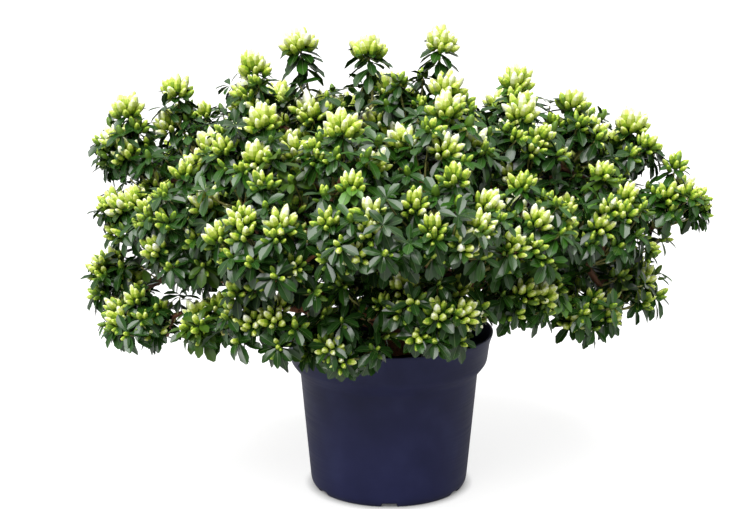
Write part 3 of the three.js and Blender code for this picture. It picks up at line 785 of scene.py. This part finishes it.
def forks(points, ways, spacing, drop):
    """Groups points round a spread-out few of them, and sets a fork below each group: the group's middle,
    less drop times its mean direction. Returns the forks and the group of each point."""
    few = points[spread_out(points, random.permutation(len(points)), spacing)]
    group = nearest(points, few)
    middle, way = (np.array([rows[group == i].mean(axis=0) for i in range(len(few))])
                   for rows in (points, ways))
    return middle - drop * unit(way), unit(way), group


def towards_limb(points):
    """The unit direction from each point to the nearest limb."""
    return unit(limb_points[nearest(points, limb_points)] - points)


fork, fork_way, fork_of_shoot = forks(base, 0.5 * growth - LIMB_PULL[0] * towards_limb(base),
                                      FORK_SPACING, FORK_DROP)
lower = forks(fork, 0.5 * fork_way - LIMB_PULL[1] * towards_limb(fork), LOWER_FORK_SPACING,
              LOWER_FORK_DROP)[0]

# A shoot leaves its fork first, and turns up to the light at its end.
from_fork = tip - fork[fork_of_shoot]
growth = np.where(is_head[:, None], growth, unit(growth + FORK_LEAN * unit(from_fork)))
onward = np.where(is_head[:, None], growth, unit(ONWARD * growth + unit(from_fork)))
half_way = 0.5 * np.linalg.norm(from_fork, axis=1)
shoot_length = np.where(is_head, shoot_length, np.minimum(shoot_length, half_way))
base = tip - shoot_length[:, None] * onward

# Nodes: limb points first, then lower forks, forks and shoots.
places = np.concatenate([limb_points, lower, fork])
roots = len(limb_points)
parent = np.full(len(places), -1)
run = np.zeros(len(places))
way = np.concatenate([limb_way, np.zeros((len(places) - roots, 3))])
cost = np.full(len(places), np.inf)
cheapest = np.full(len(places), -1)
waiting = np.arange(len(places)) >= roots


def offer(i):
    """Offers node i as a parent to all the waiting nodes: cost = distance (1 + TURN_COST (1 - cos of the
    turn)) + LENGTH_COST times the length so far."""
    gap = places - places[i]
    distance = np.linalg.norm(gap, axis=1)
    turning = 1 - (gap @ way[i]) / np.maximum(distance, 1e-9)
    price = distance * (1 + TURN_COST * turning) + LENGTH_COST * run[i]
    better = waiting & (price < cost)
    cost[better] = price[better]
    cheapest[better] = i


for i in range(roots):
    offer(i)
while waiting.any():
    i = np.argmin(np.where(waiting, cost, np.inf))
    parent[i] = cheapest[i]
    step = places[i] - places[parent[i]]
    run[i] = run[parent[i]] + np.linalg.norm(step)
    way[i] = unit(unit(step) + MEMORY * way[parent[i]])
    waiting[i] = False
    offer(i)

# Shoots join their forks, each by its base and then its tip.
bases = len(places) + np.arange(len(base))
tips = len(places) + len(base) + np.arange(len(tip))
fork_start = roots + len(lower)
parent = np.concatenate([parent, fork_start + fork_of_shoot, bases])
places = np.concatenate([places, base, tip])
load = np.zeros(len(places))
load[tips] = np.where(tier == TIP, TIP_LOAD, np.where(kind == 0, TRUSS_LOAD, 1))
children = [[] for _ in places]
for i in range(roots, len(places)):
    children[parent[i]].append(i)
order = [i for root in range(roots) for i in children[root]]
for i in order:
    order.extend(children[i])
for i in reversed(order):
    if parent[i] >= roots:
        load[parent[i]] += load[i]
alive = load > 0

# ------------ Twigs ------------
# Round stems, as thick as the shoots that they feed make them: green-tan in their first year, reddish
# brown in their second, and brown bark after that.

TIP_RADIUS = 1.05 * MM
PIPE_POWER = 2.6  # radius = TIP_RADIUS * shoots ^ (1 / PIPE_POWER)
TIP_TAPER = 0.9
TWIG_AGES = (1.7 * MM, 2.3 * MM)  # radii at which a twig turns reddish, and then to brown bark
TWIG_STEP = 9 * MM
TWIG_SIDES = 4
LIMB_SHARE = 0.8  # a twig is never thicker than this share of its limb
TWIG_START = (0.45, 0.55)  # it sets off between its own way and its parent's
# Young azalea stems. The bark is matt brown where it has turned to wood, reddish and a little smoother the
# year before, and green-tan, dull and hairy in its first summer.
TWIG_LOOKS = [material("brown_twig_bark", "#6b4630", 0.75)[0],
              material("reddish_twig", "#8a5a3a", 0.65)[0],
              material("green_tan_twig", "#939150", 0.6)[0]]

node_radius = TIP_RADIUS * np.maximum(load, 1) ** (1 / PIPE_POWER)
node_radius[tips] *= TIP_TAPER


def twig_axes():
    """Runs of nodes: each starts at a fork or limb and follows the child with the largest load to a tip."""
    starts = [(root, child) for root in range(roots) for child in children[root] if alive[child]]
    while starts:
        origin, i = starts.pop()
        run_nodes = [origin, i]
        while True:
            onward = sorted((c for c in children[i] if alive[c]), key=lambda c: -load[c])
            if not onward:
                break
            starts.extend((i, other) for other in onward[1:])
            i = onward[0]
            run_nodes.append(i)
        yield np.array(run_nodes)


twig_parts, twig_slots = [], []
for nodes_on_axis in twig_axes():
    knots = places[nodes_on_axis]
    radii = node_radius[nodes_on_axis].copy()
    origin = nodes_on_axis[0]
    if origin < roots:
        radii[0] = min(radii[1], LIMB_SHARE * limb_radius[origin])
        parent_way = limb_way[origin]
    else:
        radii[0] = radii[1]
        parent_way = unit(places[origin] - places[parent[origin]])
    first = knots[1] - knots[0]
    before = knots[0] - (TWIG_START[0] * first + TWIG_START[1] * parent_way * np.linalg.norm(first))
    spans = np.linalg.norm(np.diff(knots, axis=0), axis=1)
    rows = spline(np.column_stack([knots, radii]), np.maximum(np.ceil(spans / TWIG_STEP), 1).astype(int),
                  np.append(before, radii[0]))
    points, faces = tube(rows[:, :3], rows[:, 3], TWIG_SIDES)
    face_radius = rows[np.minimum(faces.min(axis=1) // TWIG_SIDES, len(rows) - 1), 3]
    twig_parts.append((points, faces))
    twig_slots.append(len(TWIG_AGES) - np.digitize(face_radius, TWIG_AGES))
twigs = piece("twigs", *joined(twig_parts), TWIG_LOOKS, np.concatenate(twig_slots))
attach(twigs, "root")

# ------------ Leaves ------------
# Small leathery evergreen leaves, widest beyond their middle, in a loose rosette under each tip. The upper
# ones stand out level, and the lower and older ones droop. Their colour changes from spray to spray.

LEAF_ROWS = np.array([0.0, 0.18, 0.47, 0.79, 1.0])
LEAF_HALF_WIDTHS = np.array([0.03, 0.10, 0.22, 0.225, 0.05])
RIB_HALF_WIDTH = 0.014
LEAF_FOLD = 0.32  # how far the blade's edges rise, as a share of their distance from the rib
LEAVES_EACH = (13, 11, 10)  # on a truss shoot, a plain shoot and an inner one, give or take two
TIP_LEAVES = 9  # more than that on the shoots that top the plant
WHORL_DEPTH = 17 * MM
TIP_WHORL_DEPTH = 30 * MM
WHORL_RISE = 5 * MM  # the youngest leaves stand this far above the shoot's tip
LEAF_OPENING = (68, 58)  # degrees from the shoot to the youngest leaf under a truss, and elsewhere
OPENING_FALL = 52  # degrees more for the oldest
OPENING_SPREAD = 10  # degrees
HEADING_SPREAD = 0.25
LEAF_UPTURN = (0.5, 0.22)  # how much a leaf's face turns up rather than along the shoot, and its spread
LEAF_WEIGHT = (0.12, 0.25)  # how leaves sag, and the oldest more
TRUSS_LEAF_LENGTH = 26 * MM
TRUSS_LEAF_AGES = (0.84, 0.18)  # times this for the youngest, and this much more for the oldest
LEAF_LENGTH = 22 * MM
LEAF_AGES = (0.8, 0.3)
TIP_LEAF_STRETCH = 1.25
LEAF_LENGTHS = (0.8, 1.14)
LEAF_WIDTHS = (0.95, 1.05)  # of a leaf under a truss, and elsewhere
WIDTH_SPREAD = (0.9, 1.12)
LEAF_CURL = (0.04, 0.3)
LEAF_ROOM = 20 * MM  # no leaf of an outer shoot ends further than this outside the masses
LEAF_POT_GAP = 1.5 * MM  # and none comes nearer the pot than this
# Leathery evergreen leaves. The living surface has a waxy gloss that mirrors the sky as a soft pale sheen
# on deep green; young leaves are lighter and softer, shaded ones are painted nearly black as painted shade,
# and the rib is paler.
LEAF_LOOKS = [material(name, colour, roughness, Specular_IOR_Level=gloss)[0]
              for name, colour, roughness, gloss in (
                  ("dark_leaf", "#1a390b", 0.25, 0.52), ("slate_leaf", "#234317", 0.23, 0.52),
                  ("mid_leaf", "#284e12", 0.26, 0.52), ("olive_leaf", "#3a5712", 0.3, 0.52),
                  ("young_leaf", "#4f7a28", 0.36, 0.5), ("painted_shade_leaf", "#11270a", 0.3, 0.5),
                  ("leaf_rib", "#40572a", 0.4, 0.5))]
YOUNG_SLOT, PAINTED_SHADE_SLOT, RIB_SLOT = 4, 5, 6
LOOK_SHARES = (0.38, 0.33, 0.22, 0.07)  # of sprays in each of the first four looks
ODD_LEAVES = 0.25  # share of leaves that differ from the rest of their spray
YOUNG_SHARE = (0.01, 0.06)  # how many shoots are young, and how many of the leafy ones at the skin
YOUNG_SPRAYS = {"foliage_low_right_front": 0.25, "foliage_low_far_right": 0.5}  # and in these masses
SHADE_LEVEL = 0.38  # below this level, the next share of the inner and shaded leaves is painted nearly black, as painted shade
PAINTED_SHADE_SHARE = 0.65


def leaf_template():
    """One leaf, 1 long: y = -w, -rib, rib or w across, x along, and z = fold |y|, for a half width w(x)."""
    rib = np.minimum(RIB_HALF_WIDTH, 0.45 * LEAF_HALF_WIDTHS)
    across = np.stack([-LEAF_HALF_WIDTHS, -rib, rib, LEAF_HALF_WIDTHS], -1)
    points = np.stack([np.repeat(LEAF_ROWS[:, None], 4, axis=1), across, LEAF_FOLD * np.abs(across)], -1)
    index = np.arange(4 * len(LEAF_ROWS)).reshape(-1, 4)
    quads = np.stack([index[:-1, :-1], index[1:, :-1], index[1:, 1:], index[:-1, 1:]], -1)
    return points.reshape(-1, 3), quads.reshape(-1, 4), np.tile([False, True, False], len(LEAF_ROWS) - 1)


def frames(ways):
    """Two unit directions square to each way."""
    side = unit(np.cross(ways, np.eye(3)[np.argmin(np.abs(ways), axis=1)]))
    return side, np.cross(ways, side)


def spokes(heading, ways):
    """The direction square to each way at each heading: cos h side + sin h other."""
    side, other = frames(ways)
    return np.cos(heading)[:, None] * side + np.sin(heading)[:, None] * other


leaf_points, leaf_quads, leaf_rib = leaf_template()
on_truss = kind == 0
on_top = tier == TIP
count = np.array(LEAVES_EACH)[kind] + random.integers(-2, 3, len(kind)) + TIP_LEAVES * on_top
owner = np.repeat(np.arange(len(tip)), count)
rank = np.concatenate([np.arange(n) for n in count])
age = rank / count[owner]
turn_start = random.uniform(0, 2 * np.pi, len(tip))
heading = turn_start[owner] + rank * GOLDEN_ANGLE + random.normal(0, HEADING_SPREAD, len(owner))
around = spokes(heading, growth[owner])
opening = np.radians(np.where(on_truss[owner], *LEAF_OPENING) + OPENING_FALL * age
                     + random.normal(0, OPENING_SPREAD, len(owner)))
leaf_way = np.cos(opening)[:, None] * growth[owner] + np.sin(opening)[:, None] * around
leaf_way = unit(leaf_way - (0, 0, LEAF_WEIGHT[0]) - np.outer(age, (0, 0, LEAF_WEIGHT[1])))
whorl_depth = np.where(on_top, TIP_WHORL_DEPTH, WHORL_DEPTH)
leaf_foot = (tip[owner] - growth[owner] * (whorl_depth[owner] * age ** 2 - WHORL_RISE)[:, None]
             + around * TIP_RADIUS)
leaf_up = growth[owner] + (0, 0, LEAF_UPTURN[0]) + random.normal(0, LEAF_UPTURN[1], (len(owner), 3))
leaf_up = unit(leaf_up - leaf_way * (leaf_up * leaf_way).sum(axis=1, keepdims=True))
leaf_side = np.cross(leaf_up, leaf_way)
leaf_length = np.where(on_truss[owner], TRUSS_LEAF_LENGTH * (TRUSS_LEAF_AGES[0] + TRUSS_LEAF_AGES[1] * age),
                       LEAF_LENGTH * (LEAF_AGES[0] + LEAF_AGES[1] * np.sqrt(age)))
leaf_length *= np.where(on_top[owner], TIP_LEAF_STRETCH, 1) * random.uniform(*LEAF_LENGTHS, len(owner))
leaf_width = np.where(on_truss[owner], *LEAF_WIDTHS) * random.uniform(*WIDTH_SPREAD, len(owner))
leaf_curl = random.uniform(*LEAF_CURL, len(owner))


def set_out(feet, lengths, places, axes):
    """Copies of a template, a row of points for each: foot + length (x a + y b + z c), where x, y and z are
    its places and a, b and c the directions of its axes."""
    local = sum(place[..., None] * axis[:, None] for place, axis in zip(places, axes))
    return feet[:, None] + lengths[:, None, None] * local


def leaves_mesh(which):
    """The chosen leaves: the template, width times as wide, with its height z lowered by curl x^2."""
    x, y, z = leaf_points.T[:, None]
    places = (x, leaf_width[which, None] * y, z - leaf_curl[which, None] * x ** 2)
    points = set_out(leaf_foot[which], leaf_length[which], places,
                     (leaf_way[which], leaf_side[which], leaf_up[which]))
    return points, repeated(leaf_quads, len(which), len(leaf_points))


spray_look = random.choice(len(LOOK_SHARES), len(fork), p=LOOK_SHARES)
leaf_look = spray_look[fork_of_shoot[owner]]
leaf_look = np.where(random.random(len(owner)) < ODD_LEAVES, random.integers(0, 3, len(owner)), leaf_look)
young_share = np.array(YOUNG_SHARE)[(kind == 1).astype(int)]
for name, share in YOUNG_SPRAYS.items():
    spray_low, spray_high = (np.array(end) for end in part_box(name))
    young_share[((tip > spray_low) & (tip < spray_high)).all(axis=1)] = share
young = (random.random(len(tip)) < young_share)[owner]
# Painted shade: low in the crown, most leaves of the inner and shaded shoots take a nearly black colour for
# the shade they stand in.
in_painted_shade = ((kind == 2) | in_shade) & (tip[:, 2] < SHADE_LEVEL)
leaf_look = np.where(in_painted_shade[owner] & (random.random(len(owner)) < PAINTED_SHADE_SHARE), PAINTED_SHADE_SLOT, leaf_look)
leaf_look = np.where(young, YOUNG_SLOT, leaf_look)

all_points = leaves_mesh(np.arange(len(owner)))[0]
fits = ~near_pot(all_points.reshape(-1, 3), LEAF_POT_GAP).reshape(all_points.shape[:2]).any(axis=1)
near_end = leaf_foot + 0.9 * leaf_length[:, None] * leaf_way
fits &= (kind[owner] == 2) | in_shade[owner] | (depth_in_crown(near_end) > -LEAF_ROOM)
for number, tier_name in enumerate(TIERS[:4]):
    which = np.nonzero(fits & (np.minimum(tier[owner], 3) == number))[0]
    points, faces = leaves_mesh(which)
    slots = np.where(leaf_rib[None], RIB_SLOT, leaf_look[which][:, None]).ravel()
    made = piece(f"leaves_{tier_name}", points.reshape(-1, 3), faces, LEAF_LOOKS, slots)
    prefixes = ("foliage_top_", "foliage_tip_") if tier_name == "top" else f"foliage_{tier_name}_"
    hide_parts(*[name for name in FOLIAGE if name.startswith(prefixes)])
    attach(made, "root")

# ------------ Flower buds ------------
# Plump furled buds, lime green at their scaly foot and creamy white at the pointed tip. A ripe truss holds
# about twenty of them round a tallest one, a late truss a few, and many leafy shoots a single green one.

BUD_ROWS = np.array([0.0, 0.12, 0.34, 0.62, 0.86, 1.0])
BUD_RADII = np.array([0.11, 0.20, 0.245, 0.225, 0.13, 0.0])
BUD_SIDES = 6
BUD_COUNT = (2, 14, 4)  # in the least ripe truss, what ripeness adds, and what a high head adds
COUNT_SPREAD = (-1.5, 2)
BUD_LEAN = (7, 50)  # degrees that the buds nearest the middle lean out, and the outer ones more
LEAN_SPREAD = 0.16
RACHIS = (1, 9)  # millimetres: the stalk that the buds stand on, and what ripeness adds
BUD_OUT = (2, 4, 5)  # millimetres from the middle: least, for ripeness, and for the outer ones
BUD_SINK = 3  # millimetres that the outermost bud sits lower
BUD_LENGTH = (13.5, 7)  # millimetres, and what ripeness adds
OUTER_BUD = 0.25  # the outermost is this much shorter
HEAD_BUD = 1.18  # and those of a high head are longer
BUD_LENGTHS = (0.82, 1.14)
BUD_WIDTHS = (0.84, 1.08)
BUD_STAGE = (-1.6, 3.2, 1.5)  # slots that colours move up: at first, with ripeness, and down for the outer
STAGE_SPREAD = 0.6
SINGLE_SHARE = 0.55  # share of the leafy shoots at the skin that carry one
SINGLE_LENGTH = (12, 20)  # millimetres
SINGLE_WIDTH = (1.0, 1.3)
SINGLE_STAGES = {-3: 0.45, -2: 0.4, -1: 0.15}  # the share of single buds at each stage
SINGLE_UPTURN = 0.2
# Overlapping bud scales and the petals that push through them: satin, from olive green through lime and
# pale cream to nearly white. A bud is palest at its tip, and a ripe one paler all over.
BUD_LOOKS = [material(name, colour, 0.5)[0] for name, colour in (
    ("bud_scale_green", "#4d6c10"), ("bud_lime", "#76961b"), ("bud_pale_lime", "#a4b835"),
    ("bud_cream_green", "#c3cf68"), ("bud_cream", "#dae2a9"), ("bud_white", "#eff1da"))]


def bud_template():
    """One bud, 1 tall: a radius profile carried round Z, times 1 + 0.07 cos(3 h) for the furl. Returns its
    points, its faces and the row of each face, one lower on every other side."""
    heading = np.linspace(0, 2 * np.pi, BUD_SIDES, endpoint=False)
    furl = 1 + 0.07 * np.cos(BUD_SIDES / 2 * heading)
    ring = np.stack([np.cos(heading) * furl, np.sin(heading) * furl], -1)
    rows = len(BUD_ROWS) - 1
    grid = np.concatenate([BUD_RADII[:-1, None, None] * ring[None],
                           np.repeat(BUD_ROWS[:-1, None, None], BUD_SIDES, axis=1)], -1)
    points = np.concatenate([grid.reshape(-1, 3), [[0, 0, -0.02], [0, 0, 1.0]]])
    odd = np.arange(BUD_SIDES) % 2
    row = np.repeat(np.arange(rows - 1), BUD_SIDES) - np.tile(odd, rows - 1)
    row = np.concatenate([row, row, np.zeros(BUD_SIDES, int), rows - 1 - odd])
    return points, ring_faces(rows, BUD_SIDES), row


def buds_mesh(feet, ways, lengths, widths, stages):
    """Buds at their feet, width times as thick as the template. The colour of a face is its row, moved on by
    the bud's stage."""
    points, faces, row = bud_template()
    x, y, z = points.T[:, None]
    placed = set_out(feet, lengths, (widths[:, None] * x, widths[:, None] * y, z), (*frames(ways), ways))
    slots = np.clip(row[None] + stages[:, None], 0, len(BUD_LOOKS) - 1)
    return placed.reshape(-1, 3), repeated(faces, len(feet), len(points)), slots.ravel()


truss = np.nonzero(kind == 0)[0]
high_head = (is_head & (tier >= HIGH))[truss]
bud_count = BUD_COUNT[0] + BUD_COUNT[1] * ripeness[truss] + random.uniform(*COUNT_SPREAD, len(truss))
bud_count = np.round(bud_count).clip(1).astype(int) + BUD_COUNT[2] * high_head
bud_owner = np.repeat(np.arange(len(truss)), bud_count)
bud_rank = np.concatenate([np.arange(n) for n in bud_count])
outer = bud_rank / bud_count[bud_owner]
bud_ripe = ripeness[truss][bud_owner]
bud_growth = growth[truss][bud_owner]
heading = bud_rank * GOLDEN_ANGLE + random.uniform(0, 6, len(truss))[bud_owner]
around = spokes(heading, bud_growth)
lean = np.radians(BUD_LEAN[0] + BUD_LEAN[1] * outer ** 0.75) * (bud_rank > 0)
lean += random.normal(0, LEAN_SPREAD, len(bud_owner))
bud_way = unit(np.cos(lean)[:, None] * bud_growth + np.sin(lean)[:, None] * around)
rachis = (RACHIS[0] + RACHIS[1] * bud_ripe) * MM
bud_out = (BUD_OUT[0] + BUD_OUT[1] * bud_ripe + BUD_OUT[2] * outer) * MM * (bud_rank > 0)
bud_foot = (tip[truss][bud_owner] + around * bud_out[:, None]
            + bud_growth * (rachis * (1 - outer) - BUD_SINK * MM * outer)[:, None])
bud_length = (BUD_LENGTH[0] + BUD_LENGTH[1] * bud_ripe) * (1 - OUTER_BUD * outer) * MM
bud_length *= np.where(high_head[bud_owner], HEAD_BUD, 1) * random.uniform(*BUD_LENGTHS, len(bud_owner))
bud_width = random.uniform(*BUD_WIDTHS, len(bud_owner))
bud_stage = (BUD_STAGE[0] + BUD_STAGE[1] * bud_ripe - BUD_STAGE[2] * outer
             + random.normal(0, STAGE_SPREAD, len(bud_owner)))
bud_stage = np.round(bud_stage).astype(int)
bud_tier = np.minimum(tier[truss][bud_owner], 3)
for number, tier_name in enumerate(TIERS[:4]):
    buds = [rows[bud_tier == number] for rows in (bud_foot, bud_way, bud_length, bud_width, bud_stage)]
    points, faces, slots = buds_mesh(*buds)
    trusses = piece(f"bud_trusses_{tier_name}", points, faces, BUD_LOOKS, slots)
    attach(trusses, "root")

single = np.nonzero((kind == 1) & (random.random(len(kind)) < SINGLE_SHARE))[0]
single_length = random.uniform(*SINGLE_LENGTH, len(single)) * MM
single_width = random.uniform(*SINGLE_WIDTH, len(single))
single_stage = random.choice(list(SINGLE_STAGES), len(single), p=list(SINGLE_STAGES.values()))
single_way = unit(growth[single] + (0, 0, SINGLE_UPTURN))
points, faces, slots = buds_mesh(tip[single], single_way, single_length, single_width, single_stage)
single_buds = piece("single_buds", points, faces, BUD_LOOKS, slots)
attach(single_buds, "root")
